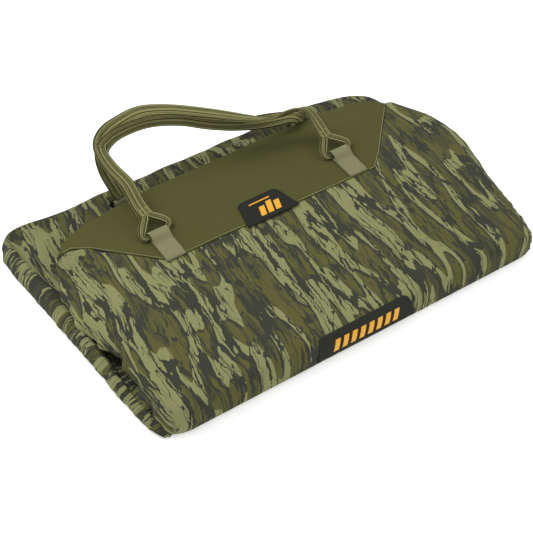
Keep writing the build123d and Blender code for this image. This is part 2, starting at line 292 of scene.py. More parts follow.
def camoCloth(name, shift, paintedShade=1.0):
    # matt printed polyester: sage streaks 60 mm apart and 300 mm long, each with a charcoal rim, and ragged
    # charcoal bark lines 25 mm apart on an olive brown ground; it gives the eye broken vertical bark
    material, tree, shader = newMaterial(name, 0.9, 0.02)
    uv = node(tree, "UVMap", uv_map="UVMap")
    turned = node(tree, "VectorRotate", {"Vector": uv, "Angle": math.radians(4)}, rotation_type="Z_AXIS")
    placed = node(tree, "VectorMath.ADD", (turned, shift))
    bent = jittered(tree, placed, (5.0, 3.0, 1.0), 1.0, camo["bend"])
    ragged = jittered(tree, bent, (85.0, 52.0, 1.0), 1.5, camo["ragged"])
    swell = clouds(tree, placed, (10.0, 5.0, 5.0), 1.0)
    half = node(tree, "Math.MULTIPLY_ADD", (swell, 0.14, -0.012))
    vein = fromMiddle(tree, clouds(tree, bent, camo["vein"], 1.2, 0.45))
    inside = node(tree, "Math.SUBTRACT", (half, vein))
    sage = node(tree, "MapRange", (inside, -0.003, 0.003), interpolation_type="SMOOTHSTEP")
    beside = node(tree, "VectorMath.ADD", (ragged, camo["rim"]))
    veinBeside = fromMiddle(tree, clouds(tree, beside, camo["vein"], 1.2, 0.45))
    rim = node(tree, "Math.LESS_THAN", (veinBeside, half))
    outside = node(tree, "Math.SUBTRACT", (1.0, sage))
    dark = node(tree, "Math.MULTIPLY", (rim, outside))
    swellDark = clouds(tree, placed, (17.0, 11.0, 9.0), 1.0)
    for perMetre, detail, gain, less in (
            ((41.0, 4.8, 1.0), 1.2, 0.14, -0.044), ((60.0, 6.0, 9.0), 1.0, 0.12, -0.036)):
        width = node(tree, "Math.MULTIPLY_ADD", (swellDark, gain, less))
        dark = node(tree, "Math.MAXIMUM", (dark, barkLines(tree, ragged, perMetre, detail, width)))
    blot = node(tree, "Math.GREATER_THAN", (clouds(tree, ragged, (30.0, 9.0, 4.0), 1.5), 0.71))
    dark = node(tree, "Math.MAXIMUM", (dark, blot))
    faint = fromMiddle(tree, clouds(tree, ragged, (38.0, 4.8, 7.0), 1.5))
    faint = node(tree, "MapRange", (faint, 0.050, 0.036), interpolation_type="SMOOTHSTEP")
    faint = node(tree, "Math.MULTIPLY", (faint, 0.62))
    printed = hexColour(camo["ground"])
    for share, over in ((faint, "groundDark"), (sage, "sage"), (dark, "charcoal")):
        printed = node(tree, "Mix", {0: share, 6: printed, 7: hexColour(camo[over])}, 2, data_type="RGBA")
    grain = clouds(tree, uv, (900.0, 900.0, 1.0), 2.0, 0.6)
    tint = node(tree, "Math.MULTIPLY_ADD", (grain, 0.30, 0.85))
    # paintedShade darkens the whole print evenly: painted shade, for copies of this cloth on faces that get
    # less light
    tint = node(tree, "Math.MULTIPLY", (tint, paintedShade))
    height = clothHeight(tree, uv, grain, (38.0, 26.0, 1.0), camo["threadPair"], 3.0)
    finished(tree, shader, printed, tint, height, 0.00035)
    return material


def plainCloth(name, colour, rough=0.9, sheen=0.03, puff=3.0):
    # plain dyed polyester: even colour with a slight mottle 110 mm across, fine weave and soft creases;
    # it gives the eye a dull brushed surface
    material, tree, shader = newMaterial(name, rough, sheen)
    uv = node(tree, "UVMap", uv_map="UVMap")
    grain = clouds(tree, uv, (1100.0, 1100.0, 1.0), 2.0, 0.6)
    mottle = node(tree, "Math.MULTIPLY_ADD", (clouds(tree, uv, (9.0, 9.0, 1.0), 2.0), 0.10, 0.95))
    tint = node(tree, "Math.MULTIPLY_ADD", (grain, 0.22, 0.89))
    tint = node(tree, "Math.MULTIPLY", (tint, mottle))
    height = clothHeight(tree, uv, grain, (30.0, 30.0, 1.0), 0.0011, puff)
    finished(tree, shader, hexColour(colour)[:3], tint, height, 0.00035)
    return material


def ribbedWebbing(name, ribs, thread):
    # tubular nylon webbing: u goes once round it; raised ribs and grooves run along it, the rib tops painted
    # light as a painted highlight and the grooves painted dark as painted shade, with cross threads that lean
    # over each rib; it gives the eye a hard-wearing strap striped by painted light and shade
    material, tree, shader = newMaterial(name, 0.85, 0.03)
    uv = node(tree, "UVMap", uv_map="UVMap")
    around, along = (node(tree, "SeparateXYZ", (uv,), axis) for axis in (0, 1))
    rib = node(tree, "Math.MULTIPLY", (around, 2 * math.pi * ribs))
    rib = node(tree, "Math.COSINE", (rib,))
    ribHigh = node(tree, "MapRange", (rib, -0.35, 0.95), interpolation_type="SMOOTHSTEP")
    lean = node(tree, "Math.MULTIPLY", (rib, 2.0))
    cross = node(tree, "Math.MULTIPLY_ADD", (along, 2 * math.pi / thread, lean))
    cross = node(tree, "Math.SINE", (cross,))
    fuzz = node(tree, "Math.MULTIPLY_ADD", (clouds(tree, uv, (60.0, 900.0, 1.0), 2.0, 0.6), 0.3, 0.72))
    worn = node(tree, "Math.MULTIPLY_ADD", (clouds(tree, uv, (4.0, 14.0, 1.0), 2.0), 0.35, 0.92))
    # the dark groove colour is painted shade and the light rib colour a painted highlight, mixed by how high
    # each point sits on its rib
    colour = node(tree, "Mix", {0: ribHigh, 6: hexColour("2C2D19"), 7: hexColour("A2A16A")}, 2,
                  data_type="RGBA")
    tint = node(tree, "Math.MULTIPLY_ADD", (cross, 0.05, fuzz))
    tint = node(tree, "Math.MULTIPLY", (tint, worn))
    height = node(tree, "Math.MULTIPLY_ADD", (cross, 0.18, ribHigh))
    finished(tree, shader, colour, tint, height, 0.0009)
    return material


def flatWebbing(name, colour):
    # woven nylon strap: threads that slant one way and then the other every 8.5 mm, drawn 4.6 mm apart,
    # coarser than the real 1.7 mm, so that they show; it gives the eye a paler, smoother strap
    material, tree, shader = newMaterial(name, 0.85, 0.03)
    uv = node(tree, "UVMap", uv_map="UVMap")
    across, along = (node(tree, "SeparateXYZ", (uv,), axis) for axis in (0, 1))
    zig = node(tree, "Math.PINGPONG", (across, 0.0085))
    twill = node(tree, "Math.ADD", (along, zig))
    twill = node(tree, "Math.MULTIPLY", (twill, 2 * math.pi / 0.0046))
    twill = node(tree, "Math.SINE", (twill,))
    fuzz = node(tree, "Math.MULTIPLY_ADD", (clouds(tree, uv, (260.0, 260.0, 1.0), 2.0, 0.6), 0.5, 0.78))
    tint = node(tree, "Math.MULTIPLY_ADD", (twill, 0.20, fuzz))
    finished(tree, shader, hexColour(colour)[:3], tint, twill, 0.0008)
    return material


def simpleFinish(name, colour, rough, metal=0.0, grain=0.0):
    # one colour with a fine speckle 2 mm across, raised by 0.2 mm and the grain; it gives the eye a slight
    # unevenness in paint, plastic, zinc or thread
    material, tree, shader = newMaterial(name, rough)
    shader.inputs["Metallic"].default_value = metal
    spot = clouds(tree, node(tree, "TexCoord", out="Object"), (450.0, 450.0, 450.0), 3.0, 0.6)
    tint = node(tree, "Math.MULTIPLY_ADD", (spot, 0.25, 0.875))
    finished(tree, shader, hexColour(colour)[:3], tint, spot, 0.0002 + grain)
    return material


# the side and back copies are the same print darkened by painted shade: by 0.92 on the side rolls and door
# cloths, by 0.8 on the back fold, which lies in shadow behind the panel's lip
camoTop = camoCloth("printed_camo_polyester_top", (0.35, 1.10, 0.0))
camoSideShaded = camoCloth("printed_camo_polyester_side_painted_shade", (2.10, 3.30, 0.0), 0.92)
camoBackShaded = camoCloth("printed_camo_polyester_back_painted_shade", (5.40, 0.70, 0.0), 0.8)
olive = plainCloth("olive_brushed_polyester", "4B4B28")
padCloth = plainCloth("pad_cover_polyester", "4A492C", puff=6.0)
tarpaulin = plainCloth("coated_ground_sheet", "35382A", rough=0.6, sheen=0.0)
ribbed = ribbedWebbing("ribbed_tubular_webbing", 14, 0.0016)
tabWeb = flatWebbing("woven_tab_webbing", "828260")
thread = simpleFinish("olive_sewing_thread", "A3A06A", 0.7)
pipingThread = simpleFinish("pale_seam_thread", "9A9870", 0.8)
patchRubber = simpleFinish("black_moulded_patch", "262723", 0.8, grain=0.0002)
amber = simpleFinish("amber_moulded_figure", "D89A12", 0.5)
labelCloth = simpleFinish("black_label_cloth", "2C2D28", 0.85, grain=0.0003)
tubePaint = simpleFinish("dark_powder_coat", "23251C", 0.45)
nylon = simpleFinish("black_moulded_nylon", "151515", 0.5)
zinc = simpleFinish("zinc_plated_steel", "A9A9A4", 0.35, 1.0)
print("materials made")

# the leg cover: front nose, top and both side flaps, one printed sheet
cover = dict(across=230, along=150, ridgeShare=0.085, noseRows=40, leftEnd=0.165, rightEnd=0.227,
             cloth=0.0024, frontHigh=0.0802, rise=0.0098, sag=0.0022, pleat=0.0035, ripple=0.0035,
             dent=0.0022, cornerFrom=0.458, cornerWide=0.058, cornerBack=0.036)
# the nose seen from the side, as y and z, from under the front edge to the top
noseLine = rounded([(-.322, .0025), (-.344, .0025), (-.354, .01), (-.355, .03), (-.352, .052),
                    (-.343, .07), (-.325, .0768), (-.3, .0785)])
# places from front to back, then how far out each ridge is, how far its flap reaches past it and how high the
# flap's hem is
outline = dict(
    leftRidge=([-.34, -.28, -.22, -.05, .02, .1, .2],
               [-.505, -.504, -.499, -.501, -.512, -.519, -.5]),
    rightRidge=([-.34, -.26, -.16, -.05, .05, .15, .22, .3],
                [.49, .502, .516, .526, .534, .52, .494, .47]),
    leftReach=([-.34, -.3, -.235, -.17, -.13, -.062, -.004, .05, .11, .165],
               [.01, .014, .019, .014, .008, .026, .034, .024, .014, .004]),
    leftHem=([-.34, -.322, -.295, -.26, -.17, -.06, 0, .06, .12, .165],
             [.002, .008, .03, .041, .046, .045, .046, .056, .07, .08]),
    rightReach=([-.34, -.26, -.203, -.15, -.127, -.079, 0, .09, .13, .16, .22, .27],
                [.018, .024, .03, .031, .034, .046, .063, .066, .064, .056, .04, .026]),
    rightHem=([-.34, -.32, -.29, -.1, .1, .27], [.002, .01, .03, .034, .036, .05]),
    # across the panel instead: its front seam, straight with a wing rising to each tip, and its back edge
    panelFront=([-.505, -.487, -.457, -.415, -.364, -.284, -.26, .29, .308, .35, .406, .484, .55],
                [.185, .193, .197, .172, .12, .043, .04, .034, .034, .072, .134, .219, .26]),
    panelBack=([-.487, -.475, -.449, -.4, -.32, -.2, 0, .26, .33, .42, .45, .475, .484],
               [.193, .212, .232, .25, .262, .274, .278, .281, .279, .268, .258, .238, .219]))


def outlineAt(name, at):
    # straight between the places given
    return np.interp(at, *outline[name])


def topHeight(x, y):
    # a slope up from the front, less a sag towards both sides, plus slow waves of about 1 mm
    base = cover["frontHigh"] + cover["rise"] * ease((y + 0.335) / 0.24)
    return base - cover["sag"] * np.abs(x / 0.52) ** 4 + 0.0012 * waves(x, y, 3, 5, 0.16, 0.5)


def coverEnd(s, flap, inside):
    # how far back each column runs: a value for each flap, and between them just past the panel's front seam
    end = np.where(s < flap, cover["leftEnd"] + 0.02 * s / flap,
                   np.where(s > 1 - flap, cover["rightEnd"] - 0.012 * (s - 1 + flap) / flap, 0.0))
    x = -0.500 + inside
    for k in range(3):
        end = np.where((s >= flap) & (s <= 1 - flap), outlineAt("panelFront", x) + 0.004, end)
        x = outlineAt("leftRidge", end) * (1 - inside) + outlineAt("rightRidge", end) * inside
    return end


def coverSheet():
    # rows run up the nose and then back; columns run from the left hem over the top to the right hem; each
    # flap is a quarter turn whose sine goes outwards and whose cosine goes down
    n, m, noseRows = cover["across"], cover["along"], cover["noseRows"]
    flap = cover["ridgeShare"]
    s = np.linspace(0, 1, n)
    inside = np.clip((s - flap) / (1 - 2 * flap), 0, 1)
    leftTurn = np.clip(1 - s / flap, 0, 1) * math.pi / 2
    rightTurn = np.clip((s - 1 + flap) / flap, 0, 1) * math.pi / 2
    nose = resample(noseLine, noseRows)
    end = coverEnd(s, flap, inside)
    rest = (np.arange(m - noseRows) + 1) / (m - noseRows)
    further = nose[-1, 0] + (end[None, :] - nose[-1, 0]) * rest[:, None]
    y = np.vstack([np.repeat(nose[:, :1], n, axis=1), further])
    onNoseRows = np.arange(m)[:, None] < noseRows
    lift = np.concatenate([nose[:, 1] / nose[-1, 1], np.ones(m - noseRows)])[:, None]
    ridgeL, ridgeR = outlineAt("leftRidge", y), outlineAt("rightRidge", y)
    x = ridgeL * (1 - inside) + ridgeR * inside
    top = np.where(onNoseRows, lift * topHeight(x, np.full_like(y, nose[-1, 0])), topHeight(x, y))
    # pleats gather towards the pinch at the left end of the olive panel
    spread = np.clip((0.17 - y) / 0.3, 0, 1)
    angle = np.arctan2(x + 0.512, 0.185 - y + 0.02)
    pleat = cover["pleat"] * np.sin(angle * 26) * hill(np.hypot(x + 0.512, y - 0.17), 0.05, 0.055)
    ripple = cover["ripple"] * np.sin(y * 2 * math.pi / 0.085 + 0.6) + 0.002 * np.sin(y * 2 * math.pi / 0.041)
    sinL, sinR = np.sin(leftTurn), np.sin(rightTurn)
    outL = -(outlineAt("leftReach", y) + ripple * sinL ** 2 * (0.4 + spread)) * sinL
    outR = (outlineAt("rightReach", y) + 0.3 * ripple * sinR ** 2) * sinR
    hemL, hemR = np.minimum(outlineAt("leftHem", y), top), np.minimum(outlineAt("rightHem", y), top)
    z = np.where(leftTurn > 0, hemL + (top - hemL) * np.cos(leftTurn),
                 np.where(rightTurn > 0, hemR + (top - hemR) * np.cos(rightTurn), top))
    # the seam beside each ridge draws the cloth in
    fromRidge = np.minimum(np.abs(x - ridgeL), np.abs(x - ridgeR))
    z = z - cover["dent"] * hill(fromRidge, 0.009, 0.0042) * (np.arange(m)[:, None] >= 30)
    x = x + outL + outR
    # the front corners are rounded in plan, as a quarter of an ellipse
    share = np.clip((np.abs(x) - cover["cornerFrom"]) / cover["cornerWide"], 0, 0.98)
    y = y + cover["cornerBack"] * (1 - np.sqrt(1 - share ** 2)) * ease((-0.24 - y) / 0.09)
    return np.stack([x, y, z + np.where(onNoseRows, 0, pleat)], axis=2)


def coverPrint(points):
    # metres across, plus the drop below the top on the flaps, and metres along from the first row
    uv = sheetUv(points)
    x, z = points[..., 0], points[..., 2]
    uv[..., 0] = x + np.sign(x) * np.maximum(0, topHeight(0, -0.1) - z) * (np.abs(x) > 0.5)
    return uv


coverPoints = coverSheet()
legCover = gridPiece("leg_cover_sheet", coverPoints, coverPrint(coverPoints), camoTop, thick=cover["cloth"])
print("leg cover made")

# olive toe panel with its hemmed back lip
panel = dict(across=190, along=64, half=0.4855, shift=-0.0015, above=0.0028, cloth=0.0018,
             lipDrops=(0.005, 0.006, 0.007, 0.0075), lipBacks=(0.0042, 0.0040, 0.0034, 0.0022),
             lipRound=0.004)


def panelHeight(x, y):
    # the cover's height, plus a step, one slanted crease and waves of about 1 mm
    crease = 0.0016 * hill(y - 0.18 - 0.1 * x, 0.0, 0.02) * ease((x + 0.5) / 0.3)
    return topHeight(x, y) + panel["above"] + crease + 0.0012 * waves(x, y, 8, 6, 0.12, 0.4)


def panelSheet():
    # straight rows from the front seam to the back edge, then a small turn down as the lip; the columns are
    # closer together near the tips
    n, m = panel["across"], panel["along"]
    turns = np.linspace(-1, 1, n) * math.pi / 2 * 0.985
    x = panel["half"] * np.sin(turns) / math.sin(turns[-1]) + panel["shift"]
    front = outlineAt("panelFront", x)
    back = np.maximum(outlineAt("panelBack", x), front + 0.0005)
    v = np.linspace(0, 1, m - 8)
    y = front + (back - front) * v[:, None]
    z = panelHeight(np.broadcast_to(x, y.shape), y) - 0.0016 * (1 - ease(v / 0.04))[:, None]
    turn = np.linspace(0, math.pi / 2, 5)[1:]
    backs = np.concatenate([panel["lipRound"] * np.sin(turn), panel["lipBacks"]])
    drops = np.concatenate([panel["lipRound"] * (1 - np.cos(turn)), panel["lipDrops"]])
    wide = np.minimum(1, (back - front) / 0.05)
    y = np.vstack([y, back + backs[:, None]])
    z = np.vstack([z, z[-1] - drops[:, None] * wide])
    return np.stack([np.broadcast_to(x, y.shape), y, z], axis=2)


panelPoints = panelSheet()
toePanel = gridPiece("toe_panel_sheet", panelPoints, panelPoints[..., :2], olive, thick=panel["cloth"])
print("toe panel made")

# back fold: printed skin from under the panel's lip round the nose and both back corners
backFold = dict(rows=330, cols=56, ripple=0.0006, cloth=0.0024, notchFront=0.308, notchDrops=(0.0110, 0.0042))


def straightStation(x, notch):
    # the section at x; a notch starts further back and lower, to clear a rear tab
    inner = backFold["notchFront"] if notch else outlineAt("panelBack", x) + 0.002
    first, second = (drop * notch for drop in backFold["notchDrops"])
    return [(x, inner, 0.0795 - first), (x, (inner + 0.324) / 2, 0.0792 - second), (x, 0.324, 0.0785),
            (x, 0.341, 0.0745), (x, 0.3535, 0.061), (x, 0.358, 0.038), (x, 0.354, 0.014), (x, 0.344, 0.002)]


# stations from the left end round the back to the right end, each from under the lip down to the ground
backStations = [
    [(-.47, .15, .079), (-.487, .14, .0785), (-.502, .132, .077), (-.513, .124, .073), (-.521, .117, .064),
     (-.527, .111, .054), (-.53, .108, .047), (-.531, .106, .042)],
    [(-.462, .186, .0805), (-.484, .18, .0805), (-.5, .172, .0805), (-.513, .166, .0795),
     (-.526, .16, .066), (-.537, .155, .048), (-.544, .15, .03), (-.548, .146, .014)],
    [(-.452, .21, .0805), (-.482, .212, .0805), (-.508, .213, .08), (-.524, .214, .0775),
     (-.537, .214, .062), (-.548, .213, .044), (-.555, .212, .026), (-.558, .211, .01)],
    [(-.44, .218, .0805), (-.48, .247, .0805), (-.512, .26, .0795), (-.531, .268, .0765),
     (-.545, .273, .061), (-.556, .276, .042), (-.562, .278, .024), (-.565, .279, .008)],
    [(-.424, .23, .0805), (-.47, .278, .08), (-.508, .304, .079), (-.535, .322, .0745),
     (-.551, .332, .059), (-.562, .339, .04), (-.568, .343, .022), (-.571, .345, .006)],
    [(-.406, .24, .08), (-.456, .296, .0795), (-.496, .328, .079), (-.528, .348, .073),
     (-.548, .358, .058), (-.558, .363, .038), (-.561, .363, .018), (-.558, .358, .003)],
    [(-.384, .248, .0795), (-.426, .298, .079), (-.456, .324, .079), (-.484, .343, .0735),
     (-.5, .355, .059), (-.508, .36, .036), (-.508, .357, .014), (-.503, .347, .002)],
    [(-.352, .256, .0795), (-.374, .296, .079), (-.39, .319, .0785), (-.402, .341, .0745),
     (-.41, .3535, .061), (-.414, .358, .038), (-.414, .354, .014), (-.411, .344, .002)]]
backStations += [straightStation(x, abs(abs(x) - 0.264) < 0.032) for x in (
    -.325, -.306, -.293, -.263, -.235, -.222, -.195, -.1, 0,
    .1, .195, .222, .235, .263, .293, .306, .33)]
backStations += [
    [(.368, .264, .079), (.376, .292, .079), (.384, .314, .0785), (.39, .332, .073), (.395, .343, .059),
     (.398, .347, .037), (.398, .344, .014), (.396, .336, .002)],
    [(.402, .254, .079), (.42, .281, .0785), (.434, .302, .0775), (.444, .316, .072), (.451, .325, .058),
     (.455, .328, .036), (.455, .326, .014), (.45, .318, .002)],
    [(.426, .238, .0785), (.45, .26, .078), (.47, .277, .0755), (.484, .289, .069), (.492, .297, .056),
     (.497, .3, .036), (.497, .298, .014), (.492, .292, .002)],
    [(.438, .214, .078), (.464, .226, .0765), (.487, .235, .072), (.501, .243, .066), (.511, .25, .054),
     (.516, .254, .036), (.516, .252, .014), (.51, .248, .002)],
    [(.444, .186, .0775), (.468, .191, .076), (.49, .195, .0715), (.503, .199, .063), (.511, .202, .051),
     (.514, .204, .037), (.514, .204, .023), (.51, .203, .012)]]


def backSheet():
    # the lofted stations, pushed out by folds that cross the cloth and are doubled at the left corner
    points = loft(backStations, backFold["rows"], backFold["cols"])
    along = sheetUv(points)[..., 1]
    out = np.linspace(0, 1, backFold["cols"])[None, :]
    folds = np.sin(along * 2 * math.pi / 0.19 + 3 * out) + 0.7 * np.sin(along * 2 * math.pi / 0.083 + 9 * out)
    folds += 1.6 * waves(along, out * 0.16, 21, 5, 0.05, 0.25)
    leftCorner = hill(points[..., 0], -0.52, 0.05)
    lift = backFold["ripple"] * folds * (1 + 1.3 * leftCorner) * ease(out * 6) * ease((1 - out) * 5)
    return points + gridNormals(points) * lift[..., None]


def wrapUv(points):
    # x and y in metres, with the drop below the top edge added on whichever side the cloth faces
    facing = np.abs(gridNormals(points))
    sideways = facing[..., 0] / (facing[..., 0] + facing[..., 1] + 1e-6)
    drop = np.maximum(0, 0.079 - points[..., 2])
    return np.stack([points[..., 0] + np.sign(points[..., 0]) * drop * sideways,
                     points[..., 1] + drop * (1 - sideways)], axis=2)


backPoints = backSheet()[:, ::-1]
backSkin = gridPiece("back_fold_sheet", backPoints, wrapUv(backPoints), camoBackShaded, thick=backFold["cloth"])
print("back fold made")

# side wall rolls: wall cloth folded flat and rolled along each side
roll = dict(rows=230, cols=48, ripple=0.0008, cloth=0.0024, low=0.0015, innermost=0.50)


def rollStation(side, y, out, width, high):
    # the section at y, from the ground outside over the top and down to the ground inside
    section = [(0.012, roll["low"]), (0.001, 0.010), (0, 0.022 * high / 0.045), (0.006, 0.036 * high / 0.045),
               (0.017, high), (0.60 * width, 0.92 * high), (0.86 * width, 0.60 * high), (width, 0.22 * high),
               (width + 0.012, 0.006), (max(width + 0.03, out - roll["innermost"]), 0.0045)]
    return [(side * (out - inwards), y, z) for inwards, z in section]


# stations from back to front: y, how far out, width and height
leftRows = [
    (.346, .564, .02, .034), (.336, .575, .036, .043), (.3, .579, .05, .048), (.224, .575, .056, .05),
    (.113, .567, .054, .048), (.009, .56, .044, .044), (-.093, .553, .034, .038),
    (-.19, .548, .026, .031), (-.233, .544, .021, .028), (-.273, .54, .018, .026),
    (-.3, .536, .016, .024), (-.322, .529, .014, .02), (-.336, .518, .011, .013)]
rightRows = [
    (.252, .518, .022, .036), (.232, .528, .03, .042), (.2, .541, .036, .044), (.15, .559, .042, .046),
    (.1, .572, .046, .046), (.04, .583, .05, .046), (-.04, .586, .05, .045),
    (-.114, .572, .044, .045), (-.167, .565, .04, .043), (-.224, .555, .034, .04),
    (-.275, .546, .03, .036), (-.308, .534, .022, .03), (-.326, .518, .014, .022)]


def rollSheet(side, rows, seed):
    # the lofted stations, pushed out by ribs of two lengths and by waves, both nothing at the two edges
    points = loft([rollStation(side, *row) for row in rows], roll["rows"], roll["cols"])
    y, around = points[..., 1], np.linspace(0, 1, roll["cols"])[None, :]
    ribs = np.sin(y * 2 * math.pi / 0.052 + 5 * around)
    ribs += 0.8 * np.sin(y * 2 * math.pi / 0.023 + 4 * around + 1.3)
    ribs += 1.4 * waves(y, around * 0.12, seed, 6, 0.03, 0.2)
    lift = roll["ripple"] * ribs * ease(around * 5) * ease((1 - around) * 6)
    return points + gridNormals(points) * lift[..., None] * side


def meanUv(points):
    # metres along the rows by columns, each averaged so that the print stays square to the edges
    down = np.linalg.norm(np.diff(points, axis=0), axis=2).mean(1)
    over = np.linalg.norm(np.diff(points, axis=1), axis=2).mean(0)
    down, over = (np.concatenate([[0], np.cumsum(steps)]) for steps in (down, over))
    return gridUv(down[:, None], over[None, :])


def makeRoll(name, side, rows, seed):
    # the right roll's columns run the other way, so that both faces point outwards
    points = rollSheet(side, rows, seed)
    uv = meanUv(points)
    return gridPiece(name, points[:, ::-side], uv[:, ::-side], camoSideShaded, thick=roll["cloth"])


leftRoll = makeRoll("side_wall_roll_left", -1, leftRows, 31)
rightRoll = makeRoll("side_wall_roll_right", 1, rightRows, 32)
print("side rolls made")

# carry handles: one loop of ribbed tubular webbing each, its two runs sewn side by side
strap = dict(wide=0.0176, thick=0.0064, ribs=9, ribHigh=0.13, gap=0.0182, ladderPitch=0.0046,
             ladderHalf=0.0046, ladderEnds=0.020, boxHalf=0.0095, boxLong=0.017, boxStart=0.003,
             threadRadius=0.00055)


def webbingSection(count=48):
    # a flattened oval, swollen and pinched all round by a cosine with one wave to a rib
    phase = np.linspace(0, 2 * math.pi, 400, endpoint=False)
    side = np.sign(np.cos(phase)) * np.abs(np.cos(phase)) ** 0.55 * strap["wide"] / 2
    up = np.sign(np.sin(phase)) * np.abs(np.sin(phase)) ** 0.75 * strap["thick"] / 2
    ring = resample(np.column_stack([side, up]), count, closed=True)
    wave = np.cos(2 * math.pi * np.arange(count) / count * strap["ribs"])
    return ring * (1 + strap["ribHigh"] * wave)[:, None]


def ribbonPiece(name, path, across, gather, material):
    # the section swept round a closed path, its wide side along across and narrowed by gather
    tangent = unit(np.roll(path, -1, axis=0) - np.roll(path, 1, axis=0))
    across = unit(across - (across * tangent).sum(1, keepdims=True) * tangent)
    up = np.cross(tangent, across)
    ring = webbingSection()
    sideways = across[:, None] * ring[None, :, :1] * gather[:, None, None]
    points = path[:, None] + sideways + up[:, None] * ring[None, :, 1:]
    v = runLength(np.vstack([path, path[:1]]))
    uv = gridUv((np.arange(len(ring) + 1) / len(ring))[None, :], v[:, None])
    return gridPiece(name, points, uv, material, closed=True, loop=True)


def stitches(name, starts, ends, lifts, radius, material):
    # each stitch is a short thread of five thin rings that arches from start to end, as half a sine wave
    t = np.linspace(0, 1, 5)
    path = starts[:, None] * (1 - t)[None, :, None] + ends[:, None] * t[None, :, None]
    path = path + lifts[:, None] * np.sin(t * math.pi)[None, :, None]
    along = unit(np.gradient(path, axis=1))
    side = unit(np.cross(along, unit(lifts)[:, None] + 0 * along))
    up = np.cross(side, along)
    angle = np.linspace(0, 2 * math.pi, 6, endpoint=False)[:, None]
    size = radius * np.array([0.35, 1, 1, 1, 0.35])[None, :, None, None]
    ring = path[:, :, None] + size * (side[:, :, None] * np.cos(angle) + up[:, :, None] * np.sin(angle))
    base = (np.arange(len(starts)) * 30)[:, None, None]
    i, j = np.meshgrid(np.arange(4), np.arange(6), indexing="ij")
    a, b = i * 6 + j, i * 6 + (j + 1) % 6
    quads = np.stack([a, b, b + 6, a + 6], axis=-1).reshape(1, -1, 4) + base
    caps = np.stack([np.arange(6)[::-1], 24 + np.arange(6)])[None] + base
    faces = quads.reshape(-1, 4).tolist() + caps.reshape(-1, 6).tolist()
    return meshPiece(name, ring.reshape(-1, 3).tolist(), faces, material)


def handlePath(spine, width):
    # even stations along the smooth spine, with the direction across the two runs square to it
    spine, width = through(spine, 260), through(width, 260)
    run = runLength(spine)
    even = np.linspace(0, run[-1], 240)
    spine, width = readAt(even, run, spine), readAt(even, run, width)
    tangent = unit(np.gradient(spine, axis=0))
    return spine, unit(width - (width * tangent).sum(1, keepdims=True) * tangent)


def eyeLoop(junction, across, bar, half):
    # from one run, out round the bar in the tab fold and back up to the other run
    g = strap["gap"] / 2
    shape = [(g, 0.0), (g + 0.004, 0.10), (half - 0.004, 0.50), (half + 0.003, 0.78), (half - 0.001, 0.95),
             (half - 0.013, 1.0), (0.0, 1.0)]
    shape = shape + [(-a, b) for a, b in shape[-2::-1]]
    return through(np.array([junction + across * a + (bar - junction) * b for a, b in shape]), 70)


def ladderStitch(spine, width, normal):
    # rungs across the middle between the two runs, on both faces
    run = runLength(spine)
    at = np.arange(strap["ladderEnds"], run[-1] - strap["ladderEnds"], strap["ladderPitch"])
    ahead = unit(np.gradient(spine, axis=0))
    mid = readAt(at, run, spine)
    rung, out, along = (unit(readAt(at, run, v)) for v in (width, normal, ahead))
    rung = rung * strap["ladderHalf"] + along * 0.0008
    tops = [mid + out * face * strap["thick"] * 0.46 for face in (1, -1)]
    return [(top - rung, top + rung, out * face * 0.0006) for top, face in zip(tops, (1, -1))]


def boxStitch(spine, width, normal):
    # a crossed box on both faces where the two runs part, five stitches to a side
    lines = []
    for k, way in ((0, 1), (-1, -1)):
        t = unit(np.gradient(spine, axis=0))[k] * way
        for face in (1, -1):
            base = spine[k] + t * strap["boxStart"] + normal[k] * face * strap["thick"] * 0.50
            w, d = width[k] * strap["boxHalf"], t * strap["boxLong"]
            corners = [base - w, base + w, base + w + d, base - w + d]
            for p, q in ((0, 1), (1, 2), (2, 3), (3, 0), (0, 2), (1, 3)):
                f = np.linspace(0, 1, 6)[:, None]
                line = corners[p] * (1 - f) + corners[q] * f
                lines.append((line[:-1], line[1:], np.tile(normal[k] * face * 0.0007, (5, 1))))
    return lines


def eyeAcross(spine, width, eye, k):
    # direction across the webbing round an eye, starting as it is on the run that the eye leaves
    normal = unit(np.cross(unit(np.gradient(spine, axis=0))[k], width[k]))
    across = np.cross(normal[None], unit(np.gradient(eye, axis=0)))
    start = width[k] if k else -width[k]
    return across[1:-1] * np.sign((across[0] * start).sum())


def makeHandle(name, spine, width, bars, eyeHalf):
    # spine and width run from the left junction to the right one; the path goes along one run, round the
    # right eye, back along the other run and round the left eye
    spine, width = handlePath(spine, width)
    g = strap["gap"] / 2
    left, right = (eyeLoop(spine[k], width[k], np.array(bar), eyeHalf) for k, bar in zip((0, -1), bars))
    left = left[::-1]
    path = np.vstack([spine + width * g, right[1:-1], (spine - width * g)[::-1], left[1:-1]])
    across = np.vstack([width, eyeAcross(spine, width, right, -1), -width[::-1],
                        eyeAcross(spine, width, left, 0)])
    for k in range(6):
        across, path = ((np.roll(v, 1, axis=0) + 2 * v + np.roll(v, -1, axis=0)) / 4 for v in (across, path))
    # the webbing gathers narrow where it turns inside the fold of its tab, most at the middle of the bar
    barX, barY, barZ = bars[0]
    away = np.hypot(path[:, 1] - barY, path[:, 2] - barZ)
    least = 0.46 + 0.24 * ease((np.abs(np.abs(path[:, 0]) - abs(barX)) - 0.024) / 0.008)
    loop = ribbonPiece(name, path, across, least + (1 - least) * ease((away - 0.003) / 0.020), ribbed)
    normal = np.cross(unit(np.gradient(spine, axis=0)), width)
    sewn = zip(*ladderStitch(spine, width, normal), *boxStitch(spine, width, normal))
    return loop, stitches(name + "_stitching", *(np.vstack(v) for v in sewn), strap["threadRadius"], thread)


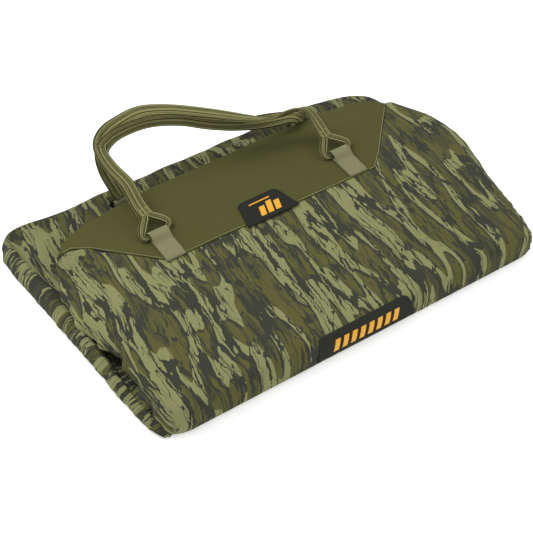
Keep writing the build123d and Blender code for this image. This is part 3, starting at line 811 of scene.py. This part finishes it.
# points up the spine from the left junction to the right one, and the way across the two runs at each
frontSpine = np.array([
    (-.2644, .168, .1227), (-.2693, .2003, .1357), (-.2697, .251, .163), (-.2828, .2971, .1839),
    (-.2885, .3301, .204), (-.2826, .3537, .2159), (-.2582, .3713, .228), (-.2186, .3797, .2358),
    (-.1542, .3799, .2431), (-.0836, .3575, .2334), (-.0035, .3163, .2146), (.0556, .2861, .1973),
    (.1053, .2674, .1802), (.1439, .2579, .1705), (.1809, .25, .1746), (.2104, .2401, .1818),
    (.2324, .2298, .1789), (.2439, .2171, .163), (.2498, .1961, .1439), (.2544, .1665, .1232)])
frontWidth = np.array([
    (1, 0, 0), (1, 0, 0), (1, .05, -.05), (.97, .15, -.1), (.93, 0, -.3), (.7, -.45, -.55),
    (.35, -.65, -.6), (.05, -.88, -.45), (0, -.95, -.3), (0, -.97, -.22), (0, -.97, -.2),
    (0, -.98, -.1), (0, -.97, .15), (-.05, -.8, .6), (-.1, -.55, .83), (-.3, -.6, .72),
    (-.7, -.55, .42), (-.93, -.3, .22), (-.98, -.05, .12), (-1, 0, .04)])
frontBars = ((-.263, .124, .1), (.263, .124, .1))
rearSpine = np.array([
    (-.267, .2955, .09), (-.2802, .2951, .1251), (-.2903, .3103, .1593), (-.2922, .3267, .1864),
    (-.2845, .3424, .2046), (-.2625, .356, .2142), (-.2185, .3627, .2233), (-.1439, .3573, .224),
    (-.0684, .338, .2092), (-.0056, .315, .1854), (.0515, .2993, .1659), (.1026, .2911, .1511),
    (.1486, .2877, .1392), (.1892, .2843, .1305), (.2238, .2805, .1241), (.244, .2778, .1118),
    (.263, .294, .092)])
rearWidth = np.array([
    (1, 0, 0), (1, .05, 0), (1, .1, 0), (.97, .1, -.15), (.9, -.1, -.4), (.55, -.25, -.8),
    (.15, -.15, -.98), (0, -.05, -1), (0, -.05, -1), (0, -.05, -1), (0, -.1, -1), (0, -.2, -.95),
    (-.05, -.5, -.8), (-.3, -.8, -.5), (-.6, -.75, -.2), (-.9, -.4, -.05), (-1, -.05, 0)])
rearBars = ((-.263, .2915, .0735), (.263, .2915, .0735))
frontHandle, frontSewn = makeHandle("front_handle_webbing", frontSpine, frontWidth, frontBars, .0365)
rearHandle, rearSewn = makeHandle("rear_handle_webbing", rearSpine, rearWidth, rearBars, .019)
print("handles made")

# tabs: flat webbing folded round the handle ends and sewn down
tab = dict(half=0.0254, thick=0.0022, at=0.263)


def tabPiece(name, profile, x):
    # profile is the line of the strap in its own upright plane, from one end to the other
    line = resample(rounded(profile), 70)
    t = np.linspace(-1, 1, 15)[None, :] * tab["half"]
    points = np.stack(np.broadcast_arrays(x + t, line[:, :1], line[:, 1:]), axis=2)
    return gridPiece(name, points, gridUv(t, runLength(line)[:, None]), tabWeb, thick=tab["thick"], side=0.0)


# the strap of a front tab as y and the height above the panel, and of a rear tab as y and z
frontFold = np.array([
    (.037, -.0012), (.046, 0), (.078, 0), (.102, .0004), (.106, .0026), (.1095, .0004), (.122, .0002),
    (.131, .004), (.133, .0095), (.129, .016), (.12, .0178), (.11, .0155), (.1035, .0095),
    (.0975, .004), (.085, .0026), (.046, .0022), (.0385, -.0004)])
rearFold = [
    (.262, .035), (.276, .035), (.2835, .04), (.285, .055), (.2855, .064), (.284, .0735),
    (.287, .081), (.2935, .0825), (.299, .078), (.2995, .07), (.295, .065), (.2885, .063),
    (.2877, .054), (.2875, .042), (.286, .037)]
frontTabs, rearTabs = [], []
for side, x in (("left", -tab["at"]), ("right", tab["at"])):
    base = float(panelHeight(np.array(x), np.array(0.08))) + 0.0014
    frontTabs.append(tabPiece("front_tab_" + side, frontFold + (0, base), x))
for side, x in (("left", -tab["at"]), ("right", tab["at"])):
    rearTabs.append(tabPiece("rear_tab_" + side, rearFold, x))
print("tabs made")

# patch on the panel and label on the nose, black, with plain amber shapes
patch = dict(base=0.147, top=0.111, high=0.080, corner=0.012, x=0.002, y=0.067, thick=0.0026)
label = dict(base=0.275, top=0.247, high=0.058, corner=0.012, x=-0.003, z=0.021, thick=0.0018,
             bars=8, firstBar=-0.086, barStep=0.0235)
figure = dict(thick=0.0009, rows=9, above=0.0028)


def trapezoidGrid(base, top, high, corner, rows, cols):
    # across and up positions: straight sides that lean in, less a quarter circle at the two top corners
    v = 1 - (1 - np.linspace(0, 1, rows)) ** 1.6
    down = high * (1 - v)
    cut = np.where(down < corner, corner - np.sqrt(np.maximum(0, corner ** 2 - (corner - down) ** 2)), 0)
    width = base / 2 + (top / 2 - base / 2) * v - cut
    across = width[:, None] * np.linspace(-1, 1, cols)[None, :]
    return across, np.broadcast_to((high * v)[:, None], (rows, cols))


def amberShapes(name, shapes, place):
    # slanted bars, each cut into short rows so that it follows the surface; place puts its points there
    verts, faces = [], []
    rows = figure["rows"]
    for shape in shapes:
        a, b, c, d = np.asarray(shape, float)
        up = np.linspace(0, 1, rows)[:, None]
        edge = np.concatenate([a + (d - a) * up, b + (c - b) * up])
        low = len(verts)
        top = low + 2 * rows
        for lift in (figure["above"], figure["above"] + figure["thick"]):
            verts += place(edge, lift).tolist()
        for k in range(rows - 1):
            faces += [(top + k, top + rows + k, top + rows + k + 1, top + k + 1),
                      (low + k, low + k + 1, low + rows + k + 1, low + rows + k),
                      (low + k, top + k, top + k + 1, low + k + 1),
                      (low + rows + k, low + rows + k + 1, top + rows + k + 1, top + rows + k)]
        faces += [(low, low + rows, top + rows, top),
                  (low + rows - 1, top + rows - 1, top + 2 * rows - 1, low + 2 * rows - 1)]
    return meshPiece(name, verts, faces, amber, smooth=False)


def bar(x, y, wide, high, lean):
    # the corners of a bar whose top is moved sideways by lean
    return [(x - wide / 2, y), (x + wide / 2, y), (x + wide / 2 + lean, y + high),
            (x - wide / 2 + lean, y + high)]


def onPatch(points, lift):
    # points measured from the patch's middle, on the panel and raised by lift
    x, y = points[..., 0] + patch["x"], points[..., 1] + patch["y"]
    return np.stack([x, y, panelHeight(x, y) + lift], axis=-1)


nosePath = resample(noseLine, 400)
noseRun = runLength(nosePath)
noseStart = float(np.interp(label["z"], nosePath[40:, 1], noseRun[40:]))


def onNose(points, lift):
    # points measured across and up the curve of the nose, raised square to it by lift
    at = noseStart + points[..., 1]
    y, z = (np.interp(at, noseRun, nosePath[:, k]) for k in (0, 1))
    ty, tz = (np.interp(at + 0.001, noseRun, nosePath[:, k]) - np.interp(at - 0.001, noseRun, nosePath[:, k])
              for k in (0, 1))
    size = np.hypot(ty, tz)
    return np.stack([points[..., 0] + label["x"], y - tz / size * lift, z + ty / size * lift], axis=-1)


across, up = trapezoidGrid(patch["base"], patch["top"], patch["high"], patch["corner"], 34, 44)
patchPoints = onPatch(np.stack([across, up - patch["high"] / 2], 2), 0.0002)
panelPatch = gridPiece("panel_patch", patchPoints, patchPoints[..., :2], patchRubber, thick=patch["thick"],
                       side=1.0)
patchMark = amberShapes("panel_patch_mark", [
    bar(-0.018, -0.026, 0.015, 0.030, 0.010), bar(0.003, -0.026, 0.015, 0.038, 0.0127),
    bar(0.024, -0.026, 0.015, 0.030, 0.010), bar(-0.004, 0.020, 0.058, 0.0035, 0.0012)], onPatch)
across, up = trapezoidGrid(label["base"], label["top"], label["high"], label["corner"], 30, 60)
labelUv = np.stack([across, up], 2)
frontLabel = gridPiece("front_label_cloth", onNose(labelUv, 0.0008), labelUv, labelCloth,
                       thick=label["thick"], side=1.0)
labelBars = [bar(label["firstBar"] + label["barStep"] * k, 0.011, 0.0135, 0.028, 0.009)
             for k in range(label["bars"])]
labelMark = amberShapes("front_label_mark", labelBars, onNose)
print("patch and label made")

# seam stitching on the panel
seam = dict(low=-0.478, high=0.476, inset=0.0022, pitch=0.0050, stitch=0.0036, radius=0.0009, lift=0.0008)


def seamStitches():
    # a stitch at each pitch along the front seam, but none under the patch or a tab
    x = np.linspace(seam["low"], seam["high"], 1600)
    y = outlineAt("panelFront", x) + seam["inset"]
    line = np.column_stack([x, y, panelHeight(x, y) + 0.0002])
    run = runLength(line)
    at = np.arange(0.002, run[-1] - 0.005, seam["pitch"])
    a, b = line[np.searchsorted(run, at)], line[np.searchsorted(run, at + seam["stitch"])]
    free = ((np.abs(a[:, 0] - patch["x"]) > patch["base"] / 2 + 0.002)
            & (np.abs(np.abs(a[:, 0]) - tab["at"]) > tab["half"] + 0.0016))
    lifts = np.tile([0, 0, seam["lift"]], (free.sum(), 1))
    return stitches("panel_seam_stitching", a[free], b[free], lifts, seam["radius"], pipingThread)


seamSewn = seamStitches()
print("seams sewn")

# inside: ground sheet, pads and door cloths
pad = dict(crown=0.12, fill=0.7, quilt=0.16)


def cushion(name, low, high, tufts):
    # closed pillow: rows along x, and each ring is a rounded box over the top and back underneath, with a
    # shallow groove where the cosine of so many half turns is near nothing
    (x0, y0, z0), (x1, y1, z1) = low, high
    t = np.linspace(-1, 1, 90)
    ring = np.linspace(0, 2 * math.pi, 80, endpoint=False)
    ex = np.sign(np.cos(ring)) * np.abs(np.cos(ring)) ** 0.35
    ez = np.sign(np.sin(ring)) * np.abs(np.sin(ring)) ** 0.6
    bulge = np.sqrt(np.maximum(0, 1 - np.abs(t) ** 8))[:, None]
    px = (np.sign(t) * np.abs(t) ** 0.85)[:, None]
    x = (x0 + x1) / 2 + (x1 - x0) / 2 * px * np.ones(80)
    y = (y0 + y1) / 2 + (y1 - y0) / 2 * ex * (0.985 + 0.015 * bulge)
    groove = 1 - pad["quilt"] * (np.abs(np.cos(px * math.pi * tufts / 2)) < 0.10)
    z = (z0 + z1) / 2 + (z1 - z0) / 2 * ez * bulge * (1 - pad["crown"] * ex ** 2) * groove
    uv = gridUv(px * (x1 - x0) / 2, (np.arange(81) / 80 * 2 * (y1 - y0))[None])
    made = gridPiece(name, np.stack([x, y, z], axis=2), uv, padCloth, closed=True)
    made.modifiers.new("closed_ends", "WELD").merge_threshold = 0.0002
    return made


def flatSheet(name, low, high, height, wave, material, thick, cols=90, rows=60, farEdge=None):
    # a level cloth with low waves that die out at its edges; farEdge gives its far edge at each place across
    x, y = np.meshgrid(np.linspace(low[0], high[0], cols), np.linspace(low[1], high[1], rows))
    if farEdge:
        y = low[1] + (y - low[1]) * (farEdge(x) - low[1]) / (high[1] - low[1])
    edge = np.minimum(np.minimum(x - low[0], high[0] - x), np.minimum(y - low[1], high[1] - y))
    z = height + wave * waves(x, y, 44, 5, 0.12, 0.4) * ease(edge / 0.05)
    return gridPiece(name, np.stack([x, y, z], 2), np.stack([x, y], 2), material, thick=thick, side=0.0)


# the ground sheet runs on under the back fold to the sewn edge of that cloth, with a slot where each
# rear tab passes when the frame is open
ground = dict(far=0.343, slot=0.043, half=0.031, slope=0.011)


def groundEdge(x):
    # far edge, drawn back by the slot within half a slot's width of a rear tab
    away = np.abs(np.abs(x) - tab["at"])
    return ground["far"] - ground["slot"] * (1 - ease((away - ground["half"]) / ground["slope"]))


low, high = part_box("ground_sheet")
groundCloth = flatSheet("ground_sheet_cloth", low, (high[0], ground["far"]), 0.0013, 0.00035, tarpaulin,
                        0.0014, cols=180, farEdge=groundEdge)
doorCloths = []
for side in ("left", "right"):
    low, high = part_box("door_cloth_" + side)
    middle = (low[2] + high[2]) / 2
    doorCloths.append(flatSheet("door_cloth_sheet_" + side, low, high, middle, 0.0003, camoSideShaded, 0.0011,
                                50, 50))
print("inside made")

# camera, floor and light
shot = dict(azimuth=33.6, elevation=46.0, distance=3.0633, aim=(-0.0571, -0.0287, 0.0), lens=85.9)
camera = linked("camera", bpy.data.cameras.new("camera"))
turn, rise = math.radians(shot["azimuth"]), math.radians(shot["elevation"])
look = np.array([math.sin(turn) * math.cos(rise), math.cos(turn) * math.cos(rise), -math.sin(rise)])
camera.location = np.array(shot["aim"]) - look * shot["distance"]
camera.rotation_euler = (math.radians(90) - rise, 0.0, -turn)
camera.data.lens, camera.data.sensor_width = shot["lens"], 36.0
camera.data.clip_start, camera.data.clip_end = 0.1, 50.0
bpy.context.scene.camera = camera

# a matt floor with a little light of its own, so that it stays pale away from the lamps
floorMaterial, floorTree, floorShader = newMaterial("pale_studio_floor", 0.9)
floorShader.inputs["Base Color"].default_value = (0.80, 0.80, 0.80, 1.0)
floorShader.inputs["Emission Color"].default_value = (1.0, 1.0, 1.0, 1.0)
floorShader.inputs["Emission Strength"].default_value = 0.42
corners = [(-30, -30, -0.0006), (30, -30, -0.0006), (30, 30, -0.0006), (-30, 30, -0.0006)]
floor = meshPiece("studio_floor", corners, [(0, 1, 2, 3)], floorMaterial, smooth=False)
floor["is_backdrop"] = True

world = bpy.data.worlds.new("studio")
world.use_nodes = True
world.node_tree.nodes["Background"].inputs[0].default_value = (1.0, 1.0, 1.0, 1.0)
world.node_tree.nodes["Background"].inputs[1].default_value = 0.85
bpy.context.scene.world = world


def softbox(name, place, aim, size, power):
    # a square lamp at a place, turned so that it faces the aim
    lamp = bpy.data.lights.new(name, "AREA")
    lamp.shape, lamp.size, lamp.energy = "SQUARE", size, power
    made = linked(name, lamp)
    made.location = place
    back = np.array(place, float) - np.array(aim, float)
    made.rotation_euler = (math.acos(back[2] / np.linalg.norm(back)), 0.0,
                           math.atan2(back[1], back[0]) + math.pi / 2)


softbox("key_softbox", (-1.2, 1.4, 2.6), (0, 0, 0), 1.6, 60.0)
softbox("fill_softbox", (2.2, -1.6, 2.2), (0, 0, 0), 2.0, 22.0)
bpy.context.scene.view_settings.view_transform = "Standard"


def fitted(piece, body, nodes):
    # rides on the body, if one is named, and stands for the nodes, which are hidden
    if body:
        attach(piece, body)
    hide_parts(*nodes)


def soft(piece, body, nodes):
    # the same as fitted
    fitted(piece, body, nodes)


for made in (legCover, frontLabel, labelMark):
    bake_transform(made)
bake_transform(backSkin)
soft(legCover, None, ["leg_cover", "front_fold_skin"])
soft(toePanel, "leg_section", ["toe_panel"])
soft(backSkin, None, ["back_fold_skin"])
soft(leftRoll, "head_section", ["side_wall_left"])
soft(rightRoll, "head_section", ["side_wall_right"])
soft(groundCloth, "head_section", ["ground_sheet"])
for side, made in zip(("left", "right"), doorCloths):
    soft(made, "door_" + side, ["door_cloth_" + side])
fitted(frontHandle, "front_carry_handle", ["front_handle"])
fitted(rearHandle, "rear_carry_handle", ["rear_handle"])
for made in frontTabs:
    fitted(made, "leg_section", ["front_tabs"])
for made in rearTabs:
    fitted(made, "seat_section", ["rear_tabs"])
fitted(panelPatch, "leg_section", ["toe_patch"])
fitted(frontLabel, None, ["front_label"])
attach(frontSewn, "front_carry_handle")
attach(rearSewn, "rear_carry_handle")
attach(patchMark, "leg_section")
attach(seamSewn, "leg_section")
for standsFor, name, body, tufts in (("backrest_pad", "backrest_cushion", "head_section", 3),
                                     ("headrest_pad", "headrest_cushion", "head_section", 2),
                                     ("seat_pad", "seat_cushion", "seat_section", 3)):
    made = cushion(name, *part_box(standsFor), tufts)
    fitted(made, body, [standsFor])

# the finish that each CAD node shows, by its slot
finishes = dict(coated_tube=tubePaint, black_nylon=nylon, zinc_steel=zinc, spring_rod=tubePaint,
                pad_cloth=padCloth, ground_sheet_cloth=tarpaulin, camo_cloth=camoSideShaded, olive_cloth=olive,
                webbing=tabWeb, black_patch=patchRubber)
for part in frame["record"]["subparts"]:
    shown = frame["nodes"][part["node"]]
    shown.data.materials.clear()
    shown.data.materials.append(finishes[part["material_slot"]])

low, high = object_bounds()
